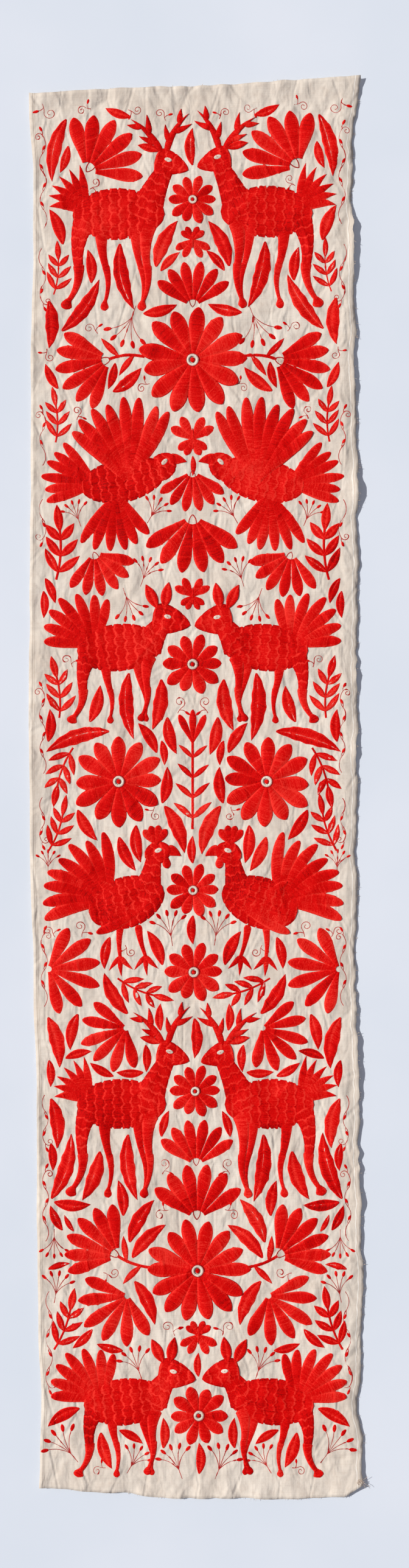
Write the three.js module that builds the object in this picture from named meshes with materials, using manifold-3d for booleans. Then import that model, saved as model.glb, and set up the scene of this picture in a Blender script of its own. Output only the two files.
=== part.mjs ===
import * as THREE from "three";
import { mergeVertices } from "three/addons/utils/BufferGeometryUtils.js";
import Module from "manifold-3d";

const wasm = await Module();
wasm.setup();

// An embroidered cotton table runner laid flat: millimetres, +Z up, its length along +Y.
const CLOTH_THICK = 1.2;
const THREAD_GAP = 0.3;
const THREAD_THICK = 0.8;
const RED = "#d61a14";
const COTTON = "#e2cebd";

// Edges of the cloth, measured along it: y, then x of the left and of the right edge
const SIDES = [
  { y: -895, left: -197, right: 208 },
  { y: -845, left: -195.8, right: 208.5 },
  { y: -768, left: -193.5, right: 204.5 },
  { y: -692, left: -198, right: 209.5 },
  { y: -538, left: -199.6, right: 208.7 },
  { y: -385, left: -200.4, right: 205.6 },
  { y: -232, left: -204.2, right: 201.8 },
  { y: -79, left: -208, right: 201 },
  { y: 74, left: -209.5, right: 203.3 },
  { y: 227, left: -208.8, right: 204.8 },
  { y: 380, left: -207.3, right: 201.8 },
  { y: 534, left: -207.3, right: 200.2 },
  { y: 690, left: -204.2, right: 197.2 },
  { y: 770, left: -204.4, right: 196 },
  { y: 850, left: -208.8, right: 201 },
  { y: 895, left: -209.5, right: 207 },
];
// Cut ends, measured across it: x, then y of the lower and of the upper end
const ENDS = [
  { x: -210, low: -880, high: 871.5 },
  { x: -100, low: -887, high: 877.5 },
  { x: -33, low: -893.5, high: 880 },
  { x: 43, low: -894, high: 882.5 },
  { x: 120, low: -894.5, high: 888 },
  { x: 186, low: -892, high: 892.5 },
  { x: 210, low: -877, high: 894.5 },
];
// The flat middle that carries the thread, and how it drifts and tilts along the cloth
const FIELD = { left: -195.5, right: 188, low: -871, high: 861 };
const DRIFT = 8;
const TILT = 0.02;

function between(rows, key, at, name) {
  let k = 0;
  while (k < rows.length - 2 && rows[k + 1][key] < at) k += 1;
  const a = rows[k];
  const b = rows[k + 1];
  const t = THREE.MathUtils.clamp((at - a[key]) / (b[key] - a[key]), 0, 1);
  return a[name] + (b[name] - a[name]) * t * t * (3 - 2 * t);
}

const drift = (y) => DRIFT * THREE.MathUtils.smoothstep(-y, 0, 870);
const tilt = (x, y) => TILT * x * THREE.MathUtils.smoothstep(y, 300, 860);

// How high the loose margins stand: s runs from 0 at the field to 1 at the edge
const waves = {
  right: (s, x, y) => s ** 1.4 * (6 + 2.6 * Math.sin(y / 31 + 1) + 1.8 * Math.sin(y / 67)),
  left: (s, x, y) => s ** 1.5 * (1.3 + 0.9 * Math.sin(y / 38)),
  high: (s, x) => s ** 1.2 * (1.9 + 1.5 * Math.sin(x / 5.1 + 0.6 * Math.sin(x / 23))),
  low: (s, x) => s ** 1.3 * (1.7 + 1.4 * Math.sin(x / 6.3 + 0.9 * Math.sin(x / 31))),
};
const CURL = { reach: 52, rise: 5 };

// The sheet: columns and rows of a box laid out so that a line of points runs round the field
const COLUMNS = { left: 1, field: 50, right: 3 };
const ROWS = { low: 2, field: 56, high: 2 };

function station(i, first, middle, last) {
  if (i < first) return { zone: -1, s: 1 - i / first };
  if (i > first + middle) return { zone: 1, s: (i - first - middle) / last };
  return { zone: 0, s: (i - first) / middle };
}

function clothPoint(column, row, side) {
  const mix = THREE.MathUtils.lerp;
  const across = station(column, COLUMNS.left, COLUMNS.field, COLUMNS.right);
  const along = station(row, ROWS.low, ROWS.field, ROWS.high);
  const near = mix(FIELD.left, FIELD.right, across.zone < 0 ? 0 : across.zone > 0 ? 1 : across.s);
  const outer = across.zone === 0 ? near : near + across.zone * across.s * 18;
  const lowField = FIELD.low + tilt(near, FIELD.low);
  const highField = FIELD.high + tilt(near, FIELD.high);
  let y = mix(lowField, highField, along.s);
  if (along.zone < 0) y = mix(lowField, between(ENDS, "x", outer, "low"), along.s);
  if (along.zone > 0) y = mix(highField, between(ENDS, "x", outer, "high"), along.s);
  let x = near + drift(y);
  if (across.zone < 0) x = mix(FIELD.left + drift(y), between(SIDES, "y", y, "left"), across.s);
  if (across.zone > 0) x = mix(FIELD.right + drift(y), between(SIDES, "y", y, "right"), across.s);
  let z = 0;
  if (across.zone < 0) z += waves.left(across.s, x, y);
  if (across.zone > 0) z += waves.right(across.s, x, y);
  if (along.zone < 0) z += waves.low(along.s, x, y);
  if (along.zone > 0) z += waves.high(along.s, x, y);
  const corner = Math.hypot(x - 209, y + 880);
  const loose = across.zone > 0 || along.zone < 0;
  if (loose && corner < CURL.reach) z += CURL.rise * (1 - corner / CURL.reach) ** 1.5;
  return [x, y, z + (side > 0 ? CLOTH_THICK : 0)];
}

// The margins keep the box's grid, and the flat field inside them is a few long strips
function clothGeometry() {
  const nx = COLUMNS.left + COLUMNS.field + COLUMNS.right;
  const ny = ROWS.low + ROWS.field + ROWS.high;
  const box = new THREE.BoxGeometry(nx, ny, 2, nx, ny, 1);
  box.deleteAttribute("normal");
  box.deleteAttribute("uv");
  const grid = mergeVertices(box);
  const p = grid.getAttribute("position");
  const at = new Map();
  for (let k = 0; k < p.count; k += 1) {
    const column = Math.round(p.getX(k) + nx / 2);
    const row = Math.round(p.getY(k) + ny / 2);
    at.set(`${column} ${row} ${Math.sign(p.getZ(k))}`, k);
    p.setXYZ(k, column, row, p.getZ(k));
  }
  const inField = (k) =>
    p.getX(k) >= COLUMNS.left && p.getX(k) <= COLUMNS.left + COLUMNS.field &&
    p.getY(k) >= ROWS.low && p.getY(k) <= ROWS.low + ROWS.field;
  const faces = [];
  for (let t = 0; t < grid.index.count; t += 3) {
    const face = [0, 1, 2].map((k) => grid.index.getX(t + k));
    if (!face.every(inField)) faces.push(...face);
  }
  const [west, east] = [COLUMNS.left, COLUMNS.left + COLUMNS.field];
  const [south, north] = [ROWS.low, ROWS.low + ROWS.field];
  const middle = (west + east) / 2;
  const triangles = [];
  for (let j = south + 1; j < north - 1; j += 1) {
    triangles.push([[west, j], [east, j], [east, j + 1]], [[west, j], [east, j + 1], [west, j + 1]]);
  }
  for (let i = west; i < east; i += 1) {
    const side = i < middle ? west : east;
    triangles.push([[i, south], [i + 1, south], [side, south + 1]]);
    triangles.push([[i + 1, north], [i, north], [side, north - 1]]);
  }
  triangles.push([[middle, south], [east, south + 1], [west, south + 1]]);
  triangles.push([[middle, north], [west, north - 1], [east, north - 1]]);
  for (const triangle of triangles) {
    const above = triangle.map(([i, j]) => at.get(`${i} ${j} 1`));
    const below = triangle.map(([i, j]) => at.get(`${i} ${j} -1`));
    faces.push(...above, ...below.reverse());
  }
  for (let k = 0; k < p.count; k += 1) p.setXYZ(k, ...clothPoint(p.getX(k), p.getY(k), p.getZ(k)));
  grid.setIndex(faces);
  return grid;
}

// A lobe is one stroke of satin stitch: a curved centre line with a width along it.
// Its place is x, y and heading; bend is how far it turns, in degrees, over its length.
const SHAPES = {
  petal: { peak: 1.9, round: 0.6, base: 0.32, steps: 4 },
  feather: { peak: 1.5, round: 0.5, base: 0.45, steps: 4 },
  leaf: { peak: 0.95, round: 0.85, base: 0.1, steps: 4 },
  spike: { peak: 0.62, round: 0.8, base: 0.45, steps: 4 },
  berry: { peak: 1, round: 0.5, base: 0, steps: 4 },
  body: { peak: 0.95, round: 0.45, base: 0, steps: 7 },
  head: { peak: 0.62, round: 0.6, base: 0.35, steps: 5 },
  stem: { steps: 4 },
  limb: { steps: 4 },
};
const SMALL = 44;
const ROUND_AT_BOTH_ENDS = ["body", "head", "berry", "leaf"];
const RAD = Math.PI / 180;

const lobe = (x, y, heading, length, width, bend, kind) => ({ x, y, heading, length, width, bend, kind });

function halfWidth({ kind, width }, t) {
  if (kind === "stem") return width / 2;
  if (kind === "limb") {
    return (width / 2) * (0.4 + 0.6 * (1 - t) ** 1.5) * Math.min(1, 0.2 + t / 0.12) ** 0.5;
  }
  const { peak, round, base } = SHAPES[kind];
  return (width / 2) * (Math.max(0, Math.sin(Math.PI * t ** peak)) ** round + base * (1 - t) ** 2);
}

function centre({ x, y, heading, length, bend }, t) {
  const a = heading * RAD;
  const b = bend * RAD;
  if (Math.abs(b) < 1e-4) return { x: x + length * t * Math.cos(a), y: y + length * t * Math.sin(a), a };
  const r = length / b;
  return {
    x: x + r * (Math.sin(a + b * t) - Math.sin(a)),
    y: y - r * (Math.cos(a + b * t) - Math.cos(a)),
    a: a + b * t,
  };
}

function outline(stroke) {
  const steps = SHAPES[stroke.kind].steps - (stroke.length < SMALL ? 1 : 0);
  const left = [];
  const right = [];
  for (let i = 0; i <= steps; i += 1) {
    const even = ROUND_AT_BOTH_ENDS.includes(stroke.kind);
    const t = even ? 0.5 - 0.5 * Math.cos((Math.PI * i) / steps) : Math.sin((Math.PI * i) / steps / 2);
    const { x, y, a } = centre(stroke, t);
    const w = halfWidth(stroke, t);
    left.push(new THREE.Vector2(x - w * Math.sin(a), y + w * Math.cos(a)));
    if (w > 0.05) right.push(new THREE.Vector2(x + w * Math.sin(a), y - w * Math.cos(a)));
  }
  return right.concat(left.reverse());
}

// Uneven like handwork, but the same each time
const wobble = (i, k = 0) => Math.sin(12.9898 * (i + 1) + 4.1 * k) * Math.cos(7.233 * (i + 1) * (1 + 0.37 * k));

function fan({ x = 0, y = 0, from, to, count, length, width, bend = 0, kind = "petal", start = 0, taper = 0, bow = 0 }) {
  return Array.from({ length: count }, (_, i) => {
    const f = i / (count - 1);
    const a = from + (to - from) * f + 1.5 * wobble(i, from);
    const reach = length * (1 - taper * f) * (1 + bow * (1 - Math.abs(2 * f - 1))) * (1 + 0.04 * wobble(i, 2 + from));
    const dx = start * Math.cos(a * RAD);
    const dy = start * Math.sin(a * RAD);
    return lobe(x + dx, y + dy, a, reach - start, width, bend, kind);
  });
}

function rosette(radius, count) {
  const start = radius * 0.115;
  const width = ((2 * Math.PI * radius * 0.66) / count) * 0.9;
  return Array.from({ length: count }, (_, i) => {
    const a = (360 * i) / count + 2.5 * wobble(i, 1);
    const reach = radius * (1 + 0.07 * wobble(i, radius)) - start;
    return lobe(start * Math.cos(a * RAD), start * Math.sin(a * RAD), a, reach, width, 3 * wobble(i, 3), "petal");
  });
}

function bloom(length, count, spread) {
  const width = ((length * spread * RAD) / count) * 0.76;
  const petals = fan({
    from: 90 - spread / 2, to: 90 + spread / 2, count, length, width, start: length * 0.16, bow: 0.1,
  });
  return [lobe(0, -1, 90, length * 0.27, length * 0.22, 0, "berry"), ...petals];
}

const tuft = (count, length, width, spread) =>
  fan({ from: 90 - spread / 2, to: 90 + spread / 2, count, length, width, start: length * 0.06, bow: 0.16 });

const leaf = (length, width, bend) => [lobe(0, 0, 90 - bend / 2, length, width, bend, "leaf")];

function butterfly(size) {
  const wing = { length: size, width: size * 0.42, count: 2 };
  const hind = { length: size * 0.72, width: size * 0.34, count: 2 };
  return [
    ...fan({ ...wing, from: 28, to: 62 }),
    ...fan({ ...wing, from: 118, to: 152 }),
    ...fan({ ...hind, from: -38, to: -66 }),
    ...fan({ ...hind, from: -114, to: -142 }),
    lobe(0, -size * 0.42, 90, size * 0.85, size * 0.17, 0, "leaf"),
  ];
}

function sprig(length, pairs, size) {
  const stem = lobe(0, 0, 90, length, 4.5, 0, "stem");
  const leaves = [];
  for (let i = 0; i < pairs; i += 1) {
    const { x, y } = centre(stem, (i + 0.55) / (pairs + 0.35));
    const s = size * (1 - (0.22 * i) / (pairs - 1));
    leaves.push(lobe(x, y, 136 + 4 * wobble(i), s, s * 0.3, 8, "leaf"));
    leaves.push(lobe(x, y, 44 - 4 * wobble(i, 5), s, s * 0.3, -8, "leaf"));
  }
  return [stem, ...leaves, ...fan({
    y: length - 1, from: 64, to: 116, count: 3, length: size * 1.25, width: size * 0.33, bow: 0.12,
  })];
}

function moved(strokes, x, y, turn = 0, scale = 1, mirror = false) {
  const c = scale * Math.cos(turn * RAD);
  const s = scale * Math.sin(turn * RAD);
  return strokes.map((one) => {
    const side = mirror ? -1 : 1;
    const heading = mirror ? 180 - one.heading : one.heading;
    const px = side * one.x;
    return lobe(
      x + c * px - s * one.y, y + s * px + c * one.y,
      heading + turn, one.length * scale, one.width * scale, side * one.bend, one.kind,
    );
  });
}

// A rosette with a leafy stem and a fan of petals to either side
function branched(radius, count, heading, bend) {
  const stem = lobe(radius * 0.9, 4, heading, 46, 5, bend, "stem");
  const arm = [stem];
  for (const [i, side] of [-1, 1].entries()) {
    const { x, y, a } = centre(stem, (i + 0.7) / 2.4);
    arm.push(lobe(x, y, a / RAD + side * 52, 32, 9.6, 10 * side, "leaf"));
  }
  const end = centre(stem, 0.97);
  arm.push(...moved(bloom(66, 6, 100), end.x, end.y, end.a / RAD - 90));
  return [...rosette(radius, count), ...arm, ...moved(arm, 0, 0, 0, 1, true)];
}

function leg(x, y, heading, upper, lower, width, sway) {
  const thigh = lobe(x, y, heading - sway / 2, upper, width, sway, "limb");
  const knee = centre(thigh, 0.93);
  const shin = lobe(knee.x, knee.y, knee.a / RAD + 4, lower, width * 0.5, -1.5 * sway, "limb");
  const foot = centre(shin, 0.9);
  return [thigh, shin, lobe(foot.x, foot.y, foot.a / RAD - 4, lower * 0.3, width * 0.46, 30, "petal")];
}

function stag() {
  const strokes = [
    ...leg(-20, 0, -86, 56, 50, 24, 26),
    ...leg(22, -2, -84, 54, 50, 20, 22),
    ...fan({ x: -46, y: 20, from: 80, to: 166, count: 6, length: 54, width: 13, bend: 26, kind: "spike", taper: 0.25 }),
    lobe(-58, 9, 3, 116, 66, -4, "body"),
    ...leg(-42, 4, -98, 60, 52, 31, 34),
    ...leg(38, 0, -92, 56, 50, 24, 26),
    lobe(30, 4, 70, 84, 50, -10, "limb"),
    lobe(46, 80, -14, 44, 28, -8, "head"),
    lobe(50, 90, 158, 27, 10, 12, "leaf"),
  ];
  for (const [x, heading, bend] of [[54, 116, 34], [60, 80, -40]]) {
    const beam = lobe(x, 88, heading, 58, 7, bend, "spike");
    strokes.push(beam);
    for (const [t, turn, size] of [[0.26, 44, 22], [0.5, -46, 24], [0.72, 42, 18]]) {
      const at = centre(beam, t);
      strokes.push(lobe(at.x, at.y, at.a / RAD + turn, size, 6.5, -turn * 0.4, "spike"));
    }
  }
  return strokes;
}

const fox = () => [
  ...leg(-18, 0, -84, 44, 40, 22, 24),
  ...leg(22, 0, -80, 42, 40, 19, 22),
  ...fan({
    x: -36, y: 12, from: 66, to: 168, count: 7, length: 64, width: 17,
    bend: 14, kind: "feather", start: 4, bow: 0.16,
  }),
  lobe(-56, 6, 4, 112, 62, 4, "body"),
  ...leg(-40, 2, -100, 48, 42, 29, 36),
  ...leg(38, 2, -94, 44, 40, 22, 28),
  lobe(32, 8, 60, 60, 46, -10, "limb"),
  lobe(42, 50, -8, 50, 34, -8, "head"),
  lobe(48, 62, 116, 34, 14, 0, "leaf"),
  lobe(57, 62, 80, 34, 14, 0, "leaf"),
];

function rooster() {
  const strokes = [];
  for (const [x, turn] of [[-6, -100], [16, -86]]) {
    const shank = lobe(x, -20, turn, 44, 12, 20, "limb");
    const foot = centre(shank, 0.92);
    strokes.push(shank);
    for (const [toe, length] of [[-136, 22], [-92, 24], [-50, 22]]) {
      strokes.push(lobe(foot.x, foot.y, toe, length, 6.5, 12, "spike"));
    }
  }
  return [
    ...strokes,
    ...fan({ x: -26, y: 6, from: 74, to: 176, count: 8, length: 88, width: 17, bend: 36, kind: "feather", taper: 0.12 }),
    lobe(-46, -4, 10, 98, 64, 18, "body"),
    lobe(24, 10, 74, 66, 42, 10, "limb"),
    lobe(24, 64, 20, 34, 28, 0, "berry"),
    lobe(52, 74, -12, 19, 11, -28, "spike"),
    ...fan({ x: 38, y: 80, from: 132, to: 56, count: 4, length: 24, width: 10 }),
    lobe(50, 68, -84, 18, 10, 0, "petal"),
    ...fan({ x: 24, y: 2, from: 158, to: 214, count: 5, length: 66, width: 16, bend: -12, kind: "feather" }),
  ];
}

const dove = () => [
  ...fan({ x: -4, y: -8, from: 226, to: 300, count: 6, length: 74, width: 16, bend: 14, kind: "feather", taper: 0.14 }),
  ...fan({ x: -30, y: 4, from: 128, to: 200, count: 6, length: 62, width: 16, kind: "feather", bow: 0.08 }),
  lobe(-48, 0, 6, 106, 54, 14, "body"),
  lobe(36, 10, 46, 40, 32, 0, "berry"),
  lobe(58, 34, 4, 22, 11, -26, "spike"),
  ...fan({
    x: 6, y: 8, from: 50, to: 132, count: 8, length: 98, width: 18, bend: 14, kind: "feather", taper: 0.1, bow: 0.08,
  }),
];

// Animals in facing pairs: how far from the middle line, how far along, and their size
const AXIS = -4;
const ANIMALS = [
  { name: "stag_top", make: stag, dx: 93, y: 711, scale: 1 },
  { name: "dove", make: dove, dx: 90, y: 377, scale: 1.04 },
  { name: "fox_upper", make: fox, dx: 91, y: 165, scale: 0.97 },
  { name: "rooster", make: rooster, dx: 85, y: -153, scale: 1.01 },
  { name: "stag_low", make: stag, dx: 93, y: -409, scale: 0.97 },
  { name: "fox_low", make: fox, dx: 91, y: -783, scale: 0.96 },
];
// Flowers: dx 0 is one on the middle line, and any other value is a pair to both sides of it
const FLOWERS = [
  { name: "branch_top", make: () => branched(67, 13, 14, -36), dx: 0, y: 537 },
  { name: "branch_low", make: () => branched(64, 14, 4, 30), dx: 0, y: -608 },
  { name: "sprig", make: () => sprig(110, 4, 31), dx: 0, y: -53 },
  { name: "rosette_wide", make: () => rosette(57, 12), dx: -93, y: 7 },
  { name: "rosette_a", make: () => rosette(34, 10), dx: 0, y: 738.6, scale: 0.9 },
  { name: "rosette_b", make: () => rosette(34, 10), dx: 0, y: 154.4, scale: 1.12 },
  { name: "rosette_c", make: () => rosette(34, 10), dx: 0, y: -129.7, scale: 0.99 },
  { name: "rosette_d", make: () => rosette(34, 10), dx: 0, y: -232.6, scale: 1.1 },
  { name: "rosette_e", make: () => rosette(34, 10), dx: 0, y: -382.3, scale: 0.96 },
  { name: "rosette_f", make: () => rosette(34, 10), dx: 0, y: -789.9, turn: 180, scale: 1.09 },
  { name: "bloom_a", make: () => bloom(62, 6, 110), dx: -132.9, y: 777.1, turn: 320, scale: 1.1 },
  { name: "bloom_b", make: () => bloom(62, 6, 110), dx: 0, y: 604.3, scale: 0.86 },
  { name: "bloom_c", make: () => bloom(62, 6, 110), dx: 0, y: 397.1, turn: 180, scale: 0.77 },
  { name: "bloom_d", make: () => bloom(62, 6, 110), dx: 0, y: 341.5, turn: 180, scale: 1.1 },
  { name: "bloom_e", make: () => bloom(62, 6, 110), dx: -124, y: 294.8, turn: 202, scale: 0.83 },
  { name: "bloom_f", make: () => bloom(62, 6, 110), dx: 0, y: -475.3, scale: 0.87 },
  { name: "bloom_g", make: () => bloom(62, 6, 110), dx: 0, y: -542.7, scale: 1.04 },
  { name: "tuft_a", make: () => tuft(6, 52, 15, 140), dx: -182.1, y: -228.7, turn: 264, scale: 1.13 },
  { name: "tuft_b", make: () => tuft(6, 52, 15, 140), dx: -86.2, y: -302.9, turn: 122, scale: 1.01 },
  { name: "tuft_c", make: () => tuft(6, 52, 15, 140), dx: -88.9, y: -639.6, turn: 138, scale: 1.12 },
  { name: "butterfly_a", make: () => butterfly(30), dx: 0, y: 688, turn: 180, scale: 0.84 },
  { name: "butterfly_b", make: () => butterfly(30), dx: 0, y: 437.9, scale: 1.04 },
  { name: "butterfly_c", make: () => butterfly(30), dx: 0, y: 240.2, scale: 0.85 },
  { name: "butterfly_d", make: () => butterfly(30), dx: 0, y: -689.1, turn: 180, scale: 0.89 },
  { name: "leaf_a", make: () => leaf(78, 18, 34), dx: -158.8, y: 842.6, turn: 167, scale: 1.04 },
  { name: "leaf_b", make: () => leaf(78, 18, 34), dx: -91.2, y: 684.6, turn: 192, scale: 1.1 },
  { name: "leaf_c", make: () => leaf(78, 18, 34), dx: -164.5, y: 575.2, turn: 324, scale: 1.04 },
  { name: "leaf_d", make: () => leaf(78, 18, 34), dx: -79.9, y: 143.3, turn: 184, scale: 1.08 },
  { name: "leaf_e", make: () => leaf(78, 18, 34), dx: -105, y: 70, turn: 108, scale: 1.08 },
  { name: "leaf_f", make: () => leaf(78, 18, 34), dx: -85, y: -436.8, turn: 188, scale: 1.08 },
  { name: "leaf_g", make: () => leaf(78, 18, 34), dx: -182.8, y: -517.3, turn: 343, scale: 1.11 },
];

function placed(strokes, dx, y, turn, scale, mirror) {
  const x = dx + AXIS;
  return moved(strokes, x + drift(y), y + tilt(x, y), turn, scale, mirror);
}

// Solids: a stroke is a flat prism, joined strokes are outlined anew as one flat body
function joined(strokes) {
  const prisms = strokes.map((one) => {
    const geometry = new THREE.ExtrudeGeometry(new THREE.Shape(outline(one)), {
      depth: THREAD_THICK,
      bevelEnabled: false,
    });
    geometry.deleteAttribute("normal");
    geometry.deleteAttribute("uv");
    const merged = mergeVertices(geometry, 1e-4);
    return new wasm.Manifold(new wasm.Mesh({
      numProp: 3,
      vertProperties: merged.getAttribute("position").array,
      triVerts: new Uint32Array(merged.index.array),
    }));
  });
  return prisms.reduce((all, one) => all.add(one)).getMesh();
}

function rims(mesh) {
  const { numProp, vertProperties, triVerts } = mesh;
  const key = (v) => [0, 1].map((k) => vertProperties[v * numProp + k].toFixed(3)).join(" ");
  const onTop = (v) => vertProperties[v * numProp + 2] > THREAD_THICK - 1e-3;
  const edges = new Map();
  for (let t = 0; t < triVerts.length; t += 3) {
    const corners = [triVerts[t], triVerts[t + 1], triVerts[t + 2]];
    if (!corners.every(onTop)) continue;
    for (let k = 0; k < 3; k += 1) {
      const a = key(corners[k]);
      const b = key(corners[(k + 1) % 3]);
      if (edges.get(b)?.has(a)) edges.get(b).delete(a);
      else if (a !== b) edges.set(a, (edges.get(a) ?? new Set()).add(b));
    }
  }
  const loops = [];
  for (const [first, nexts] of edges) {
    while (nexts.size) {
      const loop = [];
      for (let at = first; edges.get(at)?.size; ) {
        loop.push(at);
        const [next] = edges.get(at);
        edges.get(at).delete(next);
        at = next;
      }
      loops.push(loop.map((text) => new THREE.Vector2(...text.split(" ").map(Number))));
    }
  }
  return loops;
}

const SHORTEST = 0.9;
const STRAIGHT = 0.22;

function cleaned(loop) {
  const kept = [];
  for (const point of loop) {
    if (!kept.length || kept.at(-1).distanceTo(point) > SHORTEST) kept.push(point);
  }
  if (kept.length > 3 && kept[0].distanceTo(kept.at(-1)) <= SHORTEST) kept.pop();
  return kept.filter((point, i) => {
    const before = kept.at(i - 1);
    const after = kept[(i + 1) % kept.length];
    const span = after.clone().sub(before);
    return Math.abs(span.cross(point.clone().sub(before))) / span.length() > STRAIGHT;
  });
}

function threadGeometry(strokes) {
  const loops = rims(joined(strokes)).map(cleaned).filter((loop) => Math.abs(THREE.ShapeUtils.area(loop)) > 2);
  const solid = loops.filter((loop) => THREE.ShapeUtils.area(loop) > 0);
  if (solid.length !== 1) throw new Error(`strokes at ${solid[0][0].toArray()} make ${solid.length} bodies`);
  const shape = new THREE.Shape(solid[0]);
  shape.holes = loops.filter((loop) => loop !== solid[0]).map((loop) => new THREE.Path(loop));
  const geometry = new THREE.ExtrudeGeometry(shape, { depth: THREAD_THICK, bevelEnabled: false });
  geometry.translate(0, 0, CLOTH_THICK + THREAD_GAP);
  return geometry;
}

const group = new THREE.Group();
group.name = "embroidered_table_runner";

function show(name, geometry, color, roughness) {
  const mesh = new THREE.Mesh(geometry, new THREE.MeshStandardMaterial({ color, roughness }));
  mesh.name = name;
  group.add(mesh);
}

show("cloth", clothGeometry(), COTTON, 0.9);

for (const { name, make, dx, y, scale } of ANIMALS) {
  show(`${name}_left`, threadGeometry(placed(make(), -dx, y, 0, scale, false)), RED, 0.55);
  show(`${name}_right`, threadGeometry(placed(make(), dx, y, 1.2 * wobble(dx + y), scale, true)), RED, 0.55);
}
for (const [k, { name, make, dx, y, turn = 0, scale = 1 }] of FLOWERS.entries()) {
  if (dx === 0) {
    show(name, threadGeometry(placed(make(), 0, y, turn, scale, false)), RED, 0.55);
  } else {
    const lean = -turn + 3 * wobble(k);
    const size = scale * (1 + 0.03 * wobble(k, 2));
    show(`${name}_left`, threadGeometry(placed(make(), dx, y, turn, scale, false)), RED, 0.55);
    show(`${name}_right`, threadGeometry(placed(make(), -dx, y, lean, size, true)), RED, 0.55);
  }
}

// The origin is the middle of the whole outline, on the surface it lies on
const bounds = new THREE.Box3().setFromObject(group);
const middle = bounds.getCenter(new THREE.Vector3());
group.position.set(-middle.x, -middle.y, -bounds.min.z);

export default group;
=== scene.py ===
import math
from collections import namedtuple

import bmesh
import bpy
import numpy as np
from mathutils import Matrix, Vector


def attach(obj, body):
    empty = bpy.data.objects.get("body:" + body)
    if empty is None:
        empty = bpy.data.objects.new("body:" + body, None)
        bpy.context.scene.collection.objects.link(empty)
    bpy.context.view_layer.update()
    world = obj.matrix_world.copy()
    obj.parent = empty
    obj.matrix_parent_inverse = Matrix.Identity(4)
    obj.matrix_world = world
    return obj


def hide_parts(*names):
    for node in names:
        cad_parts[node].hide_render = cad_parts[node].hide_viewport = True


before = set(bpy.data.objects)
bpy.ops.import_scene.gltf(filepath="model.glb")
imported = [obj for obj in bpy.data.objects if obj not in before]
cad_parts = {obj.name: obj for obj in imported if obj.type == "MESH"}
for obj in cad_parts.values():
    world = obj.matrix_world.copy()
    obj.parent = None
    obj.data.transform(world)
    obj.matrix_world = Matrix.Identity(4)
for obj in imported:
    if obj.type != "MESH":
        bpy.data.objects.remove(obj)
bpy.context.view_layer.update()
scene = bpy.context.scene

# The cloth: one length of unbleached cotton in plain weave, with a selvedge down its left side,
# a raw and fraying right side, and cut ends. It lies flat, but its right edge and its two ends
# stand a little proud in waves, and the ground between the motifs is puckered by the stitching.
MM = 0.001
CLOTH_TOP = 1.2
CLOTH_THICK = 0.6
CLOTH_CELLS = (100, 432)
# Along the cloth: y, x of the left edge, x of the right edge
SIDES = np.array([
    (-895, -197, 208), (-845, -195.8, 208.5), (-768, -193.5, 204.5), (-692, -198, 209.5),
    (-538, -199.6, 208.7), (-385, -200.4, 205.6), (-232, -204.2, 201.8), (-79, -208, 201),
    (74, -209.5, 203.3), (227, -208.8, 204.8), (380, -207.3, 201.8), (534, -207.3, 200.2),
    (690, -204.2, 197.2), (770, -204.4, 196), (850, -208.8, 201), (895, -209.5, 207),
])
# Across the cloth: x, y of the lower end, y of the upper end
ENDS = np.array([
    (-210, -880, 871.5), (-100, -887, 877.5), (-33, -893.5, 880), (43, -894, 882.5),
    (120, -894.5, 888), (186, -892, 892.5), (210, -877, 894.5),
])
# The flat middle that the thread lies on, and how far it drifts and tilts along the cloth
FIELD_LEFT, FIELD_RIGHT, FIELD_LOW, FIELD_HIGH = -195.5, 188, -871, 861
DRIFT = 8
TILT = 0.02
# The right side lies loose: it rises slowly from this x to its edge, by this much
LOOSE_FROM, LOOSE_RISE = 110, 0.3
# The cloth is set this much lower, so that it comes down close to the floor between its puckers
SETTLED = 1.55
CURL_AT, CURL_REACH, CURL_RISE = (209, -880), 52, 3
# Creases: x and y of both ends, half width and height of the soft ridge (a trough below 0)
CREASES = [
    (-206, 9, 203, 4, 3.2, 0.9),
    (-206, -3, 203, -8, 4.0, -0.5),
    (-60, 884, 190, 838, 5.0, 1.1),
    (96, 884, 196, 760, 6.0, 1.3),
    (150, -880, 204, -800, 5.0, 1.2),
    (-196, -640, -150, -560, 4.0, 0.8),
    (-204, 300, -196, 520, 3.0, 0.8),
    (150, 470, 196, 610, 4.0, 0.9),
]
# Ripples that run in from the cut ends, and how far
RIPPLE, RIPPLE_REACH = 1.1, 13
# Puckers: which way they run, their size across and along, height, and whether they are creased
PUCKERS = [
    (0, 24, 70, 1.6, False),
    (0.64, 21, 54, 1.3, False),
    (-0.8, 26, 60, 0.9, True),
    (0.25, 13, 30, 1.0, True),
    (1.2, 11, 17, 0.5, False),
    (-0.3, 7, 11, 0.26, False),
]


def smooth(x, low, high):
    t = np.clip((x - low) / (high - low), 0, 1)
    return t * t * (3 - 2 * t)


def between(rows, at, column):
    """The value of a table's column at a place in its first column, eased from row to row."""
    k = np.clip(np.searchsorted(rows[:, 0], at) - 1, 0, len(rows) - 2)
    a, b = rows[k], rows[k + 1]
    return a[..., column] + (b - a)[..., column] * smooth(at, a[..., 0], b[..., 0])


def crumple(x, y, cell_x, cell_y, seed):
    """Smooth uneven heights from 0 to 1, with soft humps about one cell apart."""
    dice = np.random.default_rng(seed).uniform(0, 1, (64, 64))
    gx, gy = x / cell_x + 640, y / cell_y + 640
    i, j = np.floor(gx).astype(int), np.floor(gy).astype(int)
    a, b = smooth(gx - i, 0, 1), smooth(gy - j, 0, 1)
    rows = [dice[(i + k) % 64, j % 64] * (1 - b) + dice[(i + k) % 64, (j + 1) % 64] * b for k in (0, 1)]
    return rows[0] * (1 - a) + rows[1] * a


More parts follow.
